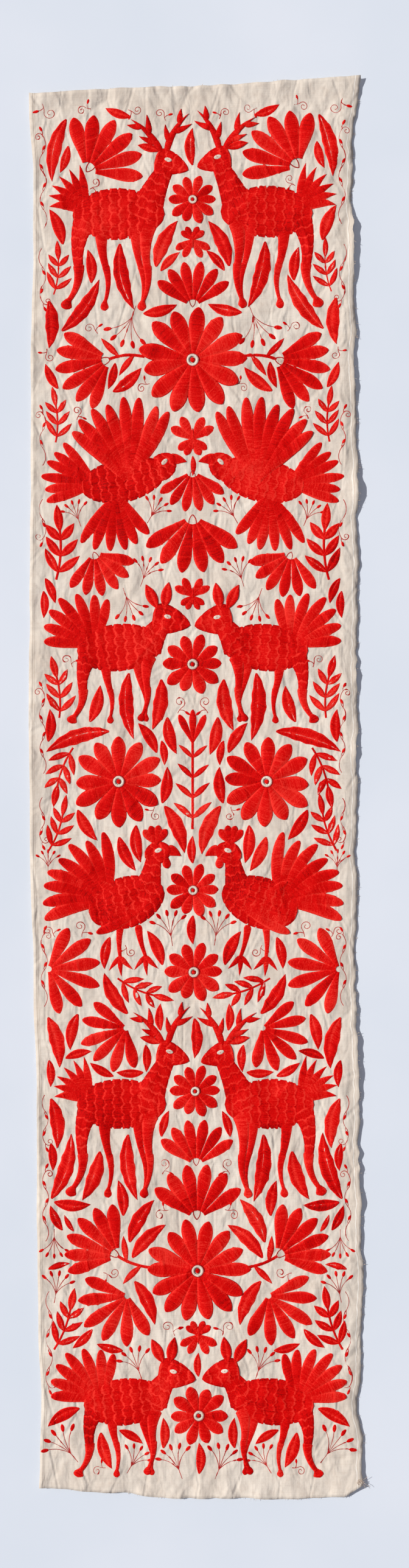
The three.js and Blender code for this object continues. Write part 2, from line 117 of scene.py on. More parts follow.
def drift(y):
    return DRIFT * smooth(-np.asarray(y, float), 0, 870)


def tilt(x, y):
    return TILT * x * smooth(np.asarray(y, float), 300, 860)


def right_line(y):
    """Where the cut right side really runs: it wanders in and out, and is ragged thread by thread."""
    y = np.asarray(y, float)
    wander = 5.0 * (crumple(y, 0 * y, 41, 1, 5) - 0.5) + 2.2 * (crumple(y, 0 * y, 10, 1, 6) - 0.5)
    return between(SIDES, y, 2) + wander + 0.4 * np.sin(y * 1.9)


def rise(x, y):
    """How far the cloth stands above its own flat top at a place, in millimetres."""
    x, y = np.asarray(x, float), np.asarray(y, float)
    right_edge, left_edge = between(SIDES, y, 2), between(SIDES, y, 1)
    low_edge, high_edge = between(ENDS, x, 1), between(ENDS, x, 2)
    near_right, near_left = FIELD_RIGHT + drift(y), FIELD_LEFT + drift(y)
    right = np.clip((x - near_right) / (right_edge - near_right), 0, 1)
    left = np.clip((near_left - x) / (near_left - left_edge), 0, 1)
    high = np.clip((y - FIELD_HIGH - tilt(x, y)) / (high_edge - FIELD_HIGH - tilt(x, y)), 0, 1)
    low = np.clip((FIELD_LOW - y) / (FIELD_LOW - low_edge), 0, 1)
    h = LOOSE_RISE * smooth(x, LOOSE_FROM, right_edge) - SETTLED
    h += right**3 * (8.0 * crumple(y, 0 * y, 47, 1, 3) ** 3.4 + 0.9 * crumple(y, 0 * y, 15, 1, 4))
    h += right**1.4 * (1 + np.sin(y / 9.5 + 2 * np.sin(y / 40))) * (0.25 + 0.2 * np.sin(y / 130))
    h += left**1.5 * (0.9 + 0.9 * np.sin(y / 38) + 0.5 * np.sin(y / 11))
    h += high**1.2 * (1.9 + 1.5 * np.sin(x / 5.1 + 0.6 * np.sin(x / 23)))
    h += low**1.3 * (0.5 + 0.9 * np.sin(x / 6.3 + 0.9 * np.sin(x / 31)))
    h += RIPPLE * np.exp(-np.abs(high_edge - y) / RIPPLE_REACH) * (1 + np.sin(x / 4.4 + 1.5 * np.sin(x / 37)))
    h += RIPPLE * np.exp(-np.abs(y - low_edge) / RIPPLE_REACH) * (1 + np.sin(x / 5.6 + 1.2 * np.sin(x / 29)))
    corner = np.hypot(x - CURL_AT[0], y - CURL_AT[1])
    h += CURL_RISE * np.clip(1 - corner / CURL_REACH, 0, 1) ** 1.5
    for turn, cell_x, cell_y, height, sharp in PUCKERS:
        c, s = math.cos(turn), math.sin(turn)
        hump = crumple(c * x + s * y, c * y - s * x, cell_x, cell_y, cell_x)
        h += height * (1 - 0.6 * right) * ((1 - np.abs(2 * hump - 1)) ** 2 if sharp else hump)
    for x0, y0, x1, y1, half, height in CREASES:
        run = np.hypot(x1 - x0, y1 - y0)
        along = np.clip(((x - x0) * (x1 - x0) + (y - y0) * (y1 - y0)) / run**2, 0, 1)
        off = np.hypot(x - x0 - along * (x1 - x0), y - y0 - along * (y1 - y0))
        h += height * np.exp(-((off / half) ** 2)) * (0.55 + 0.45 * np.sin(along * run / 17))
    return h


def on_cloth(x, y, above=0.0):
    """A place on the cloth's top, in metres."""
    return np.stack([x, y, CLOTH_TOP + rise(x, y) + above], axis=-1) * MM


def finished(bm, name, material, nodes=()):
    """The mesh as a piece that rides on the body and takes the finish it is given."""
    mesh = bpy.data.meshes.new(name)
    bm.to_mesh(mesh)
    bm.free()
    for polygon in mesh.polygons:
        polygon.use_smooth = True
    mesh.materials.append(material)
    piece = bpy.data.objects.new(name, mesh)
    scene.collection.objects.link(piece)
    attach(piece, "root")
    if nodes:
        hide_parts(*nodes)
    return piece


def colour(red, green, blue):
    """A colour as seen on a screen, 0 to 255 each, turned into the renderer's own numbers."""
    linear = [((c / 255 + 0.055) / 1.055) ** 2.4 if c > 10 else c / 3295 for c in (red, green, blue)]
    return (*linear, 1)


def new_finish(name, roughness, sheen=0.0, gloss=0.2):
    """A material with nodes: returns it, its shader and a way to add a wired node."""
    material = bpy.data.materials.new(name)
    material.use_nodes = True
    nodes, links = material.node_tree.nodes, material.node_tree.links
    shader = nodes["Principled BSDF"]
    shader.inputs["Roughness"].default_value = roughness
    shader.inputs["Sheen Weight"].default_value = sheen
    shader.inputs["Specular IOR Level"].default_value = gloss

    def add(kind, wires=(), **settings):
        node = nodes.new(kind)
        for key, value in settings.items():
            if hasattr(node, key):
                setattr(node, key, value)
            else:
                node.inputs[key.replace("_", " ")].default_value = value
        for socket, source in dict(wires).items():
            links.new(source, node.inputs[socket])
        return node

    return material, shader, links, add


def mixed(add, factor, under, over):
    """A colour between two: each is a plain colour or the output of another node."""
    node = add("ShaderNodeMix", data_type="RGBA")
    links = node.id_data.links
    for index, value in ((0, factor), (6, under), (7, over)):
        if hasattr(value, "is_linked"):
            links.new(value, node.inputs[index])
        else:
            node.inputs[index].default_value = value
    return node.outputs[2]


def ramped(add, value, low, high, to_low=0.0, to_high=1.0):
    node = add("ShaderNodeMapRange", {"Value": value}, interpolation_type="SMOOTHSTEP")
    for name, number in (("From Min", low), ("From Max", high), ("To Min", to_low), ("To Max", to_high)):
        node.inputs[name].default_value = number
    return node.outputs[0]


cotton, shader, links, add = new_finish("unbleached_cotton", 0.92, 0.15)
place = add("ShaderNodeTexCoord").outputs["Object"]
patches = add("ShaderNodeTexNoise", {"Vector": place}, Scale=11.0, Detail=5.0, Roughness=0.6)
mottle = add("ShaderNodeTexNoise", {"Vector": place}, Scale=95.0, Detail=5.0, Roughness=0.7)
weft_way = add("ShaderNodeMapping", {"Vector": place})
weft_way.inputs["Scale"].default_value = (30, 1300, 1)
weft = add("ShaderNodeTexNoise", {"Vector": weft_way.outputs[0]}, Scale=1.0, Detail=2.0)
warp_way = add("ShaderNodeMapping", {"Vector": place})
warp_way.inputs["Scale"].default_value = (1300, 30, 1)
warp = add("ShaderNodeTexNoise", {"Vector": warp_way.outputs[0]}, Scale=1.0, Detail=2.0)
ground = mixed(add, ramped(add, patches.outputs[0], 0.35, 0.7), colour(233, 221, 206), colour(220, 206, 190))
ground = mixed(add, ramped(add, mottle.outputs[0], 0.42, 0.75, 0, 0.5), ground, colour(208, 190, 173))
ground = mixed(add, ramped(add, weft.outputs[0], 0.5, 0.72, 0, 0.2), ground, colour(196, 178, 160))
ground = mixed(add, ramped(add, warp.outputs[0], 0.5, 0.72, 0, 0.2), ground, colour(242, 231, 218))
from_edges = add("ShaderNodeAttribute", attribute_name="edges")
edges = add("ShaderNodeSeparateXYZ", {"Vector": from_edges.outputs["Vector"]})
# Bands along the edges, each by the edge it is measured from (Y the right, X the left), its
# middle and half width in mm, strength and tint: painted shade over the last 15 mm or so of
# painted shadow line just outside it, and two darker lines about 4 and 6 mm in from the left edge.
# the right side, a painted highlight along a fold about 6 mm in from the right edge with a
for side, middle, half, strength, tint in (
    ("Y", 2.0, 15.0, 0.5, colour(200, 188, 174)),
    ("Y", 6.4, 1.0, 0.5, colour(251, 246, 237)),
    ("Y", 5.0, 0.8, 0.4, colour(184, 168, 152)),
    ("X", 4.0, 0.7, 0.6, colour(176, 158, 140)),
    ("X", 6.2, 0.6, 0.5, colour(182, 164, 146)),
):
    off = add("ShaderNodeMath", {0: edges.outputs[side]}, operation="SUBTRACT")
    off.inputs[1].default_value = middle
    off = add("ShaderNodeMath", {0: off.outputs[0]}, operation="ABSOLUTE").outputs[0]
    ground = mixed(add, ramped(add, off, 0.3 * half, half, strength, 0), ground, tint)
links.new(ground, shader.inputs["Base Color"])
long_way = add("ShaderNodeMapping", {"Vector": place})
long_way.inputs["Scale"].default_value = (1.5, 0.8, 1)
long_way.inputs["Rotation"].default_value = (0, 0, 0.2)
wrinkle = add(
    "ShaderNodeTexNoise", {"Vector": long_way.outputs[0]},
    Scale=40.0, Detail=2.0, Roughness=0.42, Distortion=0.35,
)
folds = add("ShaderNodeTexVoronoi", {"Vector": long_way.outputs[0]}, feature="DISTANCE_TO_EDGE", Scale=17.0)
fold_lines = ramped(add, folds.outputs["Distance"], 0.0, 0.07, 0.0, 1.0)
sharp = add("ShaderNodeBump", {"Height": fold_lines}, Strength=0.4, Distance=0.0013)
soft = add(
    "ShaderNodeBump", {"Height": wrinkle.outputs[0], "Normal": sharp.outputs[0]},
    Strength=0.7, Distance=0.0068,
)
fine = add(
    "ShaderNodeBump", {"Height": mottle.outputs[0], "Normal": soft.outputs[0]},
    Strength=0.45, Distance=0.0011,
)
cloth_threads = add("ShaderNodeMath", {0: weft.outputs[0], 1: warp.outputs[0]}, operation="ADD")
bump = add(
    "ShaderNodeBump", {"Height": cloth_threads.outputs[0], "Normal": fine.outputs[0]},
    Strength=0.5, Distance=0.0003,
)
links.new(bump.outputs[0], shader.inputs["Normal"])

bm = bmesh.new()
bmesh.ops.create_grid(bm, x_segments=CLOTH_CELLS[0], y_segments=CLOTH_CELLS[1], size=0.5)
edge_layer = bm.verts.layers.float_vector.new("edges")
across, along, _ = np.array([v.co for v in bm.verts]).T + 0.5
# A few turns settle x and y on each other, because each edge's line depends on the other one
x = -205 + 410 * across
for _ in range(3):
    low_end, high_end = between(ENDS, x, 1), between(ENDS, x, 2)
    y = low_end + (high_end - low_end) * along
    left_side, right_side = between(SIDES, y, 1), between(SIDES, y, 2)
    x = left_side + (right_side - left_side) * across
x = x + (right_line(y) - right_side) * smooth(across, 0.955, 1)
x = x + 1.2 * (crumple(y, 0 * y, 41, 1, 7) - 0.5) * smooth(-across, -0.03, 0)
y = y + 1.8 * (crumple(x, 0 * x, 23, 1, 8) - 0.5) * (smooth(along, 0.992, 1) + smooth(-along, -0.008, 0))
to_edges = np.stack([x - left_side, right_line(y) - x, high_end - y], -1)
for vert, point, margins in zip(bm.verts, on_cloth(x, y, -0.1), to_edges):
    vert.co = point
    vert[edge_layer] = margins
bmesh.ops.recalc_face_normals(bm, faces=bm.faces)
bmesh.ops.solidify(bm, geom=bm.faces, thickness=CLOTH_THICK * MM)
cloth = finished(bm, "cotton_ground", cotton, ["cloth"])


# Rosettes: round flowers of long petals in red cotton thread, each petal a satin stitch with
# its threads side by side across it, drawn tight so that it stands as a low pad. The same
# thread, held flat, makes a pale ring with a red eye where the petals meet.
RAD = math.pi / 180
AXIS = -4
PITCH = 1.65
LAYER = 0.07
DOME = 0.75
# How far the stitches' middle plane stands above the cloth they were pulled into, and how far
# a stitch's sides are drawn down into it
BED = 0.38
DRAWN_DOWN = 0.42
# A filled form: the width of a short stitch, the length of a row, and the faces along a row
SHORT_STITCH, ROW_LENGTH, ROW_FACES = 2.5, 11.5, 6
# The bows of its rows: how deep they hang and how wide each is
SCALLOP_DEPTH, SCALLOP_WIDTH = 3.8, 15
# Outline of a stroke: where it is widest, how round its end is, and the width left at its root
SHAPES = {
    "petal": (1.9, 0.6, 0.32),
    "feather": (1.75, 0.46, 0.4),
    "leaf": (0.95, 0.85, 0.1),
    "spike": (0.62, 0.8, 0.45),
    "berry": (1, 0.5, 0),
    "body": (0.95, 0.45, 0),
    "head": (0.62, 0.6, 0.35),
    "eye": (1, 0.5, 0),
    "shell": (1, 0.5, 0),
}
STRIPS = ("stem", "ring", "rim", "tendril")
SHELL_DOME = 0.12
Stroke = namedtuple("Stroke", "x y heading length width bend kind")


def wobble(i, k=0.0):
    """Uneven like handwork, but the same each time."""
    return math.sin(12.9898 * (i + 1) + 4.1 * k) * math.cos(7.233 * (i + 1) * (1 + 0.37 * k))


def half_width(one, t):
    if one.kind in STRIPS:
        return one.width / 2 + 0 * t
    if one.kind == "limb":
        return one.width / 2 * (0.4 + 0.6 * (1 - t) ** 1.5) * np.minimum(1, 0.2 + t / 0.12) ** 0.5
    peak, end, base = SHAPES[one.kind]
    return one.width / 2 * (np.maximum(0, np.sin(np.pi * t**peak)) ** end + base * (1 - t) ** 2)


def centre(one, t):
    """Where a stroke's middle line is, and its heading there in radians."""
    a, b = one.heading * RAD, one.bend * RAD
    if abs(b) < 1e-4:
        return one.x + one.length * t * math.cos(a), one.y + one.length * t * math.sin(a), a + 0 * t
    r = one.length / b
    heading = a + b * t
    return one.x + r * (np.sin(heading) - math.sin(a)), one.y - r * (np.cos(heading) - math.cos(a)), heading


def moved(strokes, x, y, turn=0.0, scale=1.0, mirror=False):
    c, s = scale * math.cos(turn * RAD), scale * math.sin(turn * RAD)
    side = -1 if mirror else 1
    return [
        Stroke(
            x + c * side * one.x - s * one.y, y + s * side * one.x + c * one.y,
            (180 - one.heading if mirror else one.heading) + turn,
            one.length * scale, one.width * scale, side * one.bend, one.kind,
        )
        for one in strokes
    ]


def placed(strokes, dx, y, turn=0.0, scale=1.0, mirror=False):
    x = dx + AXIS
    return moved(strokes, x + float(drift(y)), y + float(tilt(x, y)), turn, scale, mirror)


def is_filled(one):
    """Wide forms are filled with rows of short stitches, one row after another."""
    return one.kind in ("body", "head") or (one.kind in ("limb", "berry") and one.width > 26)


def cells(one):
    """How many faces a stroke has across and along: two to each thread that crosses them."""
    if is_filled(one):
        return 2 * round(one.width / SHORT_STITCH), ROW_FACES * max(1, round(one.length / ROW_LENGTH))
    wide = 2 if one.width < 3 else 4 if one.width < 10 else 8 if one.kind == "leaf" else 6
    return wide, 2 * max(3, round(one.length / (PITCH * (1 + 0.12 * wobble(one.heading)))))


def stacked(strokes):
    """How high each stroke starts: one that is sewn over others lies a little above them."""
    lifts, spots = [], []
    for one in strokes:
        t = np.linspace(0.04, 0.96, 9)
        x, y, _ = centre(one, t)
        w = half_width(one, t)
        under = [
            lift + LAYER
            for lift, (ox, oy, ow) in zip(lifts, spots)
            if np.any(np.hypot(x[:, None] - ox, y[:, None] - oy) < 0.85 * (w[:, None] + ow))
        ]
        lifts.append(max(under, default=0))
        spots.append((x, y, w))
    return lifts


def sewn(one, u, v, seed):
    """Lays a stroke's threads: x, y, height, shade (its tone with painted highlights and painted shade) and
    the fibre's own two directions.
    """
    dice = np.random.default_rng(seed)
    lean, bow, brightness = dice.uniform(-0.5, 0.5), dice.uniform(-0.25, 0.25), dice.normal(0, 0.05)
    columns, rows = cells(one)
    i, j = np.round((u + 1) / 2 * columns).astype(int), np.round(v * rows).astype(int)
    c = np.sin(np.pi / 2 * u)
    taper = np.maximum(0, np.sin(np.pi * v)) ** 0.6
    if is_filled(one):
        c = 0.35 * c + 0.65 * u
        spread = half_width(one, v) * c
        # Scallops: each row's bows lie between those of the row before it
        offset = np.pi / 4 * (1 - np.cos(np.pi * j / ROW_FACES))
        bows = np.abs(np.sin(np.pi * spread / SCALLOP_WIDTH + seed + offset))
        swing = SCALLOP_DEPTH * bows - SCALLOP_DEPTH / 2
        swing = swing + 0.7 * np.sin(2 * np.pi * spread / 6.1 + 2 * seed)
        t = np.clip(v - swing * taper * (1 - u**4) / one.length, 0, 1)
        w = half_width(one, t)
        step = j % ROW_FACES
        crest = (i % 2) * 2.0 - 1
        height = 0.95 * (1 - np.abs(c) ** 3) + 0.07 * crest - 0.34 * (step == 0) + 0.14 * (step == 1)
        random = dice.normal(0, 1, (rows // ROW_FACES + 2, columns + 1))[j // ROW_FACES, i]
        # Shade: the thread's uneven tone, painted shade in the groove between rows, a painted highlight
        # along the row just past it, and crests painted lighter than the hollows between threads.
        shade = 0.50 + brightness + 0.07 * random + 0.04 * crest
        shade = shade + (0.48 + 0.08 * random) * (step == 1) - 0.1 * (step == 0)
        fibre = np.stack([v * one.length, spread], -1)
        jag = 0
    elif one.kind == "leaf":
        a = np.abs(c)
        w0 = half_width(one, v)
        t = np.clip(v + 0.5 * (a - 0.5) * w0 * taper / one.length, 0, 1)
        uneven = np.sin(t * one.length * 2 * np.pi / 17 + seed)
        w = half_width(one, t) * (1 + 0.05 * (one.length > 50) * uneven)
        crest = (j % 2) * 2.0 - 1
        bank = np.maximum(0, np.sin(np.pi * np.minimum(1, a**0.85))) ** 0.7
        height = (0.25 + 0.03 * min(one.width, 20)) * bank + 0.08 * crest * (1 - a**6) + 0.16 * (a < 0.02)
        random = dice.normal(0, 1, (2, rows))[(c > 0).astype(int), j % rows]
        # Shade: the thread's uneven tone, crests painted lighter than the hollows, and a painted
        # highlight along the raised middle rib.
        shade = 0.48 + brightness + 0.08 * random + 0.04 * crest + 0.30 * (a < 0.02)
        fibre = np.stack([w * c, v * one.length], -1)
        jag = 0.14 * crest + 0.08 * random
        c = c + 0.16 * (1 - c * c) * taper
    else:
        w0 = half_width(one, v)
        t = np.clip(v + (lean * c + bow * (c * c - 0.5)) * w0 * taper / one.length, 0, 1)
        if one.kind in STRIPS:
            t = v
        w = half_width(one, t)
        crest = (j % 2) * 2.0 - 1
        full = SHELL_DOME if one.kind == "shell" else 0.3 + 0.03 * min(one.width, 20)
        height = full * (1 - np.abs(c) ** 2.4) + 0.08 * crest * (1 - c**6)
        random = dice.normal(0, 1, rows)[j % rows]
        # Shade: the thread's uneven tone, with crests painted lighter than the hollows between threads.
        shade = 0.54 + brightness + 0.08 * random + 0.05 * crest
        fibre = np.stack([w * c, v * one.length], -1)
        jag = (0.12 * crest + 0.08 * random) * (one.width > 3)
    edge = np.abs(u) ** 7
    # A single line of thread lies on the cloth; a wider stitch is drawn down into it at its sides
    drawn = 1 if one.width > 3 else 0.25
    height = height - DRAWN_DOWN * drawn * edge
    # Each edge is painted in shade, most where the stitch is drawn down, and a wide stroke that is
    # not filled gets a painted highlight just inside its edge.
    painted_highlight = np.exp(-(((np.abs(u) - 0.74) / 0.14) ** 2)) * (one.width > 5 and not is_filled(one))
    shade = np.clip(shade - 0.3 * drawn * edge + 0.42 * painted_highlight, 0, 1)
    x, y, heading = centre(one, t)
    out = (w + jag * np.minimum(1, w)) * c
    return x + out * np.sin(heading), y - out * np.cos(heading), height, shade, fibre


def embroider(name, strokes, lifts, material, slot="red_thread", nodes=()):
    """One piece of stitching: each stroke is a grid, laid out as threads on the cloth."""
    bm = bmesh.new()
    shade_layer = bm.verts.layers.float.new("shade")
    fibre_layer = bm.verts.layers.float_vector.new("fibre")
    first = sum(map(ord, name))
    for k, one in enumerate(strokes):
        columns, rows = cells(one)
        made = bmesh.ops.create_grid(bm, x_segments=columns, y_segments=rows, size=0.5)["verts"]
        u, v, _ = np.array([vert.co for vert in made]).T
        x, y, height, shade, fibre = sewn(one, 2 * u, v + 0.5, first + 7 * k)
        points = on_cloth(x, y, BED + height + lifts[k])
        for vert, point, tone, (s, r) in zip(made, points.tolist(), shade.tolist(), fibre.tolist()):
            vert.co = point
            vert[shade_layer] = tone
            vert[fibre_layer] = (s, r, first + 7 * k)
    bmesh.ops.remove_doubles(bm, verts=bm.verts, dist=1e-7)
    return finished(bm, name, material, nodes)


def thread_finish(name, dark, middle, light):
    """Dull cotton thread: its shade, which holds painted highlights and painted shade, comes from the
    stitching; its fibres run along each thread.
    """
    material, shader, links, add = new_finish(name, 0.62, 0.0, 0.07)
    shade = add("ShaderNodeAttribute", attribute_name="shade").outputs["Fac"]
    fibre = add("ShaderNodeAttribute", attribute_name="fibre").outputs["Vector"]
    place = add("ShaderNodeTexCoord").outputs["Object"]
    way = add("ShaderNodeMapping", {"Vector": fibre})
    way.inputs["Scale"].default_value = (0.22, 2.6, 1)
    strands = add("ShaderNodeTexNoise", {"Vector": way.outputs[0]}, Scale=1.0, Detail=3.0, Roughness=0.6)
    worn = add("ShaderNodeTexNoise", {"Vector": place}, Scale=14.0, Detail=3.0)
    grain = add("ShaderNodeTexNoise", {"Vector": place}, Scale=560.0, Detail=2.0, Roughness=0.7)
    uneven = add("ShaderNodeMath", {0: strands.outputs[0], 1: worn.outputs[0]}, operation="ADD")
    uneven = add("ShaderNodeMath", {0: uneven.outputs[0], 1: grain.outputs[0]}, operation="ADD")
    shift = ramped(add, uneven.outputs[0], 1.1, 1.9, -0.25, 0.25)
    tone = add("ShaderNodeMath", {0: shade, 1: shift}, operation="ADD").outputs[0]
    # The dark end is reached in painted shade at the edges, the light end in painted highlights and the
    # palest threads.
    body = mixed(add, ramped(add, tone, 0.1, 0.5), dark, middle)
    body = mixed(add, ramped(add, tone, 0.52, 0.95), body, light)
    links.new(body, shader.inputs["Base Color"])
    rough = add("ShaderNodeBump", {"Height": grain.outputs[0]}, Strength=0.5, Distance=0.0006)
    bump = add(
        "ShaderNodeBump", {"Height": strands.outputs[0], "Normal": rough.outputs[0]},
        Strength=0.5, Distance=0.0003,
    )
    links.new(bump.outputs[0], shader.inputs["Normal"])
    return material


red_thread = thread_finish("red_thread", colour(150, 0, 0), colour(219, 1, 0), colour(247, 52, 40))
# Marks in other threads are gathered here as (stroke, lift), and are sewn last
pale_marks = []
dark_marks = []
PALE = ("ring", "eye", "shell")
DARK = ("tendril", "rim")
SMALLEST_HEAD = 20


def motif(name, strokes):
    """The red strokes replace the node of that name; pale and dark ones are kept for later."""
    red = []
    for one, lift in zip(strokes, stacked(strokes)):
        if one.kind in PALE:
            pale_marks.append((one, lift + (0 if one.kind == "shell" else DOME)))
        elif one.kind in DARK:
            dark_marks.append((one, lift + (DOME if one.kind == "rim" else 0)))
        else:
            on_top = one.kind == "berry" and one.width < SMALLEST_HEAD
            red.append((one, lift + (1.2 * DOME if on_top else 0)))
    return embroider(f"{name}_stitched", *zip(*red), red_thread, nodes=[name])


def rosette(radius, count):
    start = radius * 0.085
    width = 2 * math.pi * radius * 0.66 / count * 0.98
    strokes = []
    for i in range(count):
        a = 360 * i / count + 2.5 * wobble(i, 1)
        reach = radius * (1 + 0.07 * wobble(i, radius)) - start
        x, y = start * math.cos(a * RAD), start * math.sin(a * RAD)
        strokes.append(Stroke(x, y, a, reach, width, 3 * wobble(i, 3), "petal"))
    ring = 0.05 * radius + 2.7
    strokes.append(Stroke(ring, 0, 90, 2 * math.pi * ring, 3.2, 360, "ring"))
    rim = ring + 1.8
    strokes.append(Stroke(rim, 0, 90, 2 * math.pi * rim, 1.1, 360, "rim"))
    eye = 1.15 * ring
    return strokes + [Stroke(0, -eye / 2, 90, eye, eye * 0.92, 0, "berry")]


# name, radius, petals, distance from the middle line, place along it, turn, scale
ROSETTES = [
    ("rosette_a", 34, 10, 0, 738.6, 0, 0.9),
    ("rosette_b", 34, 10, 0, 154.4, 0, 1.12),
    ("rosette_c", 34, 10, 0, -129.7, 0, 0.99),
    ("rosette_d", 34, 10, 0, -232.6, 0, 1.1),
    ("rosette_e", 34, 10, 0, -382.3, 0, 0.96),
    ("rosette_f", 34, 10, 0, -789.9, 180, 1.09),
]
for name, radius, count, dx, y, turn, scale in ROSETTES:
    motif(name, placed(rosette(radius, count), dx, y, turn, scale))
WIDE_ROSETTE_ROW = 3
wide = rosette(57, 12)
motif("rosette_wide_left", placed(wide, -93, 7))
motif("rosette_wide_right", placed(
    wide, 93, 7, 3 * wobble(WIDE_ROSETTE_ROW), 1 + 0.03 * wobble(WIDE_ROSETTE_ROW, 2), True
))


# Fan flowers, tufts and butterflies: petals that spread from one root, sewn as the rosettes
# are. A fan flower's root is a pale half-moon, and two rosettes have a leafy stem with such a
# flower on each side.


def fan(
    start_angle, end_angle, count, length, width,
    x=0.0, y=0.0, bend=0.0, kind="petal", start=0.0, taper=0.0, bow=0.0,
):
    strokes = []
    for i in range(count):
        f = i / (count - 1)
        a = start_angle + (end_angle - start_angle) * f + 1.5 * wobble(i, start_angle)
        reach = length * (1 - taper * f) * (1 + bow * (1 - abs(2 * f - 1)))
        reach *= 1 + 0.04 * wobble(i, 2 + start_angle)
        dx, dy = start * math.cos(a * RAD), start * math.sin(a * RAD)
        strokes.append(Stroke(x + dx, y + dy, a, reach - start, width, bend, kind))
    return strokes


def bloom(length, count, spread):
    width = length * spread * RAD / count * 0.87
    petals = fan(90 - spread / 2, 90 + spread / 2, count, length, width, start=length * 0.16, bow=0.1)
    root = Stroke(0, -1, 90, length * 0.27, length * 0.22, 0, "shell")
    rims = [Stroke(0, -1, 90 + side * 50, length * 0.25, 1.3, -side * 75, "tendril") for side in (-1, 1)]
    return [root, *petals, *rims]


def tuft(count, length, width, spread):
    return fan(90 - spread / 2, 90 + spread / 2, count, length, width, start=length * 0.06, bow=0.16)


def butterfly(size):
    return [
        *fan(28, 62, 2, size, size * 0.42),
        *fan(118, 152, 2, size, size * 0.42),
        *fan(-38, -66, 2, size * 0.72, size * 0.34),
        *fan(-114, -142, 2, size * 0.72, size * 0.34),
        Stroke(0, -size * 0.42, 90, size * 0.85, size * 0.17, 0, "leaf"),
    ]


def leaf(length, width, bend):
    return [Stroke(0, 0, 90 - bend / 2, length, width, bend, "leaf")]


def sprig(length, pairs, size):
    stem = Stroke(0, 0, 90, length, 4.5, 0, "stem")
    leaves = []
    for i in range(pairs):
        x, y, _ = centre(stem, (i + 0.55) / (pairs + 0.35))
        s = size * (1 - 0.22 * i / (pairs - 1))
        leaves.append(Stroke(x, y, 136 + 4 * wobble(i), s, s * 0.3, 8, "leaf"))
        leaves.append(Stroke(x, y, 44 - 4 * wobble(i, 5), s, s * 0.3, -8, "leaf"))
    return [stem, *leaves, *fan(64, 116, 3, size * 1.25, size * 0.33, y=length - 1, bow=0.12)]


def branched(radius, count, heading, bend):
    stem = Stroke(radius * 0.9, 4, heading, 46, 5, bend, "stem")
    arm = [stem]
    for i, side in enumerate((-1, 1)):
        x, y, a = centre(stem, (i + 0.7) / 2.4)
        arm.append(Stroke(x, y, a / RAD + side * 52, 32, 9.6, 10 * side, "leaf"))
    x, y, a = centre(stem, 0.97)
    arm += moved(bloom(66, 6, 100), x, y, a / RAD - 90)
    return arm + moved(arm, 0, 0, mirror=True) + rosette(radius, count)


# name, strokes, distance from the middle line (0 is one on it), place along it, turn, scale,
# and the row's number in the whole pattern, which sets how a pair's right side differs
FLOWERS = [
    ("branch_top", branched(67, 13, 14, -36), 0, 537, 0, 1, 0),
    ("branch_low", branched(64, 14, 4, 30), 0, -608, 0, 1, 1),
    ("sprig", sprig(110, 4, 31), 0, -53, 0, 1, 2),
    ("bloom_a", bloom(62, 6, 110), -132.9, 777.1, 320, 1.1, 10),
    ("bloom_b", bloom(62, 6, 110), 0, 604.3, 0, 0.86, 11),
    ("bloom_c", bloom(62, 6, 110), 0, 397.1, 180, 0.77, 12),
    ("bloom_d", bloom(62, 6, 110), 0, 341.5, 180, 1.1, 13),
    ("bloom_e", bloom(62, 6, 110), -124, 294.8, 202, 0.83, 14),
    ("bloom_f", bloom(62, 6, 110), 0, -475.3, 0, 0.87, 15),
    ("bloom_g", bloom(62, 6, 110), 0, -542.7, 0, 1.04, 16),
    ("tuft_a", tuft(6, 52, 15, 140), -182.1, -228.7, 264, 1.13, 17),
    ("tuft_b", tuft(6, 52, 15, 140), -86.2, -302.9, 122, 1.01, 18),
    ("tuft_c", tuft(6, 52, 15, 140), -88.9, -639.6, 138, 1.12, 19),
    ("butterfly_a", butterfly(30), 0, 688, 180, 0.84, 20),
    ("butterfly_b", butterfly(30), 0, 437.9, 0, 1.04, 21),
    ("butterfly_c", butterfly(30), 0, 240.2, 0, 0.85, 22),
    ("butterfly_d", butterfly(30), 0, -689.1, 180, 0.89, 23),
    ("leaf_a", leaf(78, 18, 34), -158.8, 842.6, 167, 1.04, 24),
    ("leaf_b", leaf(78, 18, 34), -91.2, 684.6, 192, 1.1, 25),
    ("leaf_c", leaf(78, 18, 34), -164.5, 575.2, 324, 1.04, 26),
    ("leaf_d", leaf(78, 18, 34), -79.9, 143.3, 184, 1.08, 27),
    ("leaf_e", leaf(78, 18, 34), -105, 70, 108, 1.08, 28),
    ("leaf_f", leaf(78, 18, 34), -85, -436.8, 188, 1.08, 29),
    ("leaf_g", leaf(78, 18, 34), -182.8, -517.3, 343, 1.11, 30),
]


def both_sides(strokes, dx, y, turn, scale, row):
    """A motif and its mirror image over the middle line, which came out a little different."""
    return (
        placed(strokes, dx, y, turn, scale),
        placed(strokes, -dx, y, -turn + 3 * wobble(row), scale * (1 + 0.03 * wobble(row, 2)), True),
    )


for name, strokes, dx, y, turn, scale, row in FLOWERS:
    if dx == 0:
        motif(name, placed(strokes, 0, y, turn, scale))
    else:
        left, right = both_sides(strokes, dx, y, turn, scale, row)
        motif(f"{name}_left", left)
        motif(f"{name}_right", right)


# Beasts and birds in facing pairs: legs, tails and wings are satin stitch, while the wide
# bodies, necks and heads are filled with wavy rows of short stitches laid end to end. Each
# has one pale eye.


def leg(x, y, heading, upper, lower, width, sway):
    thigh = Stroke(x, y, heading - sway / 2, upper, width, sway, "limb")
    kx, ky, ka = centre(thigh, 0.93)
    shin = Stroke(kx, ky, ka / RAD + 4, lower, width * 0.5, -1.5 * sway, "limb")
    fx, fy, fa = centre(shin, 0.9)
    return [thigh, shin, Stroke(fx, fy, fa / RAD - 4, lower * 0.3, width * 0.46, 30, "petal")]


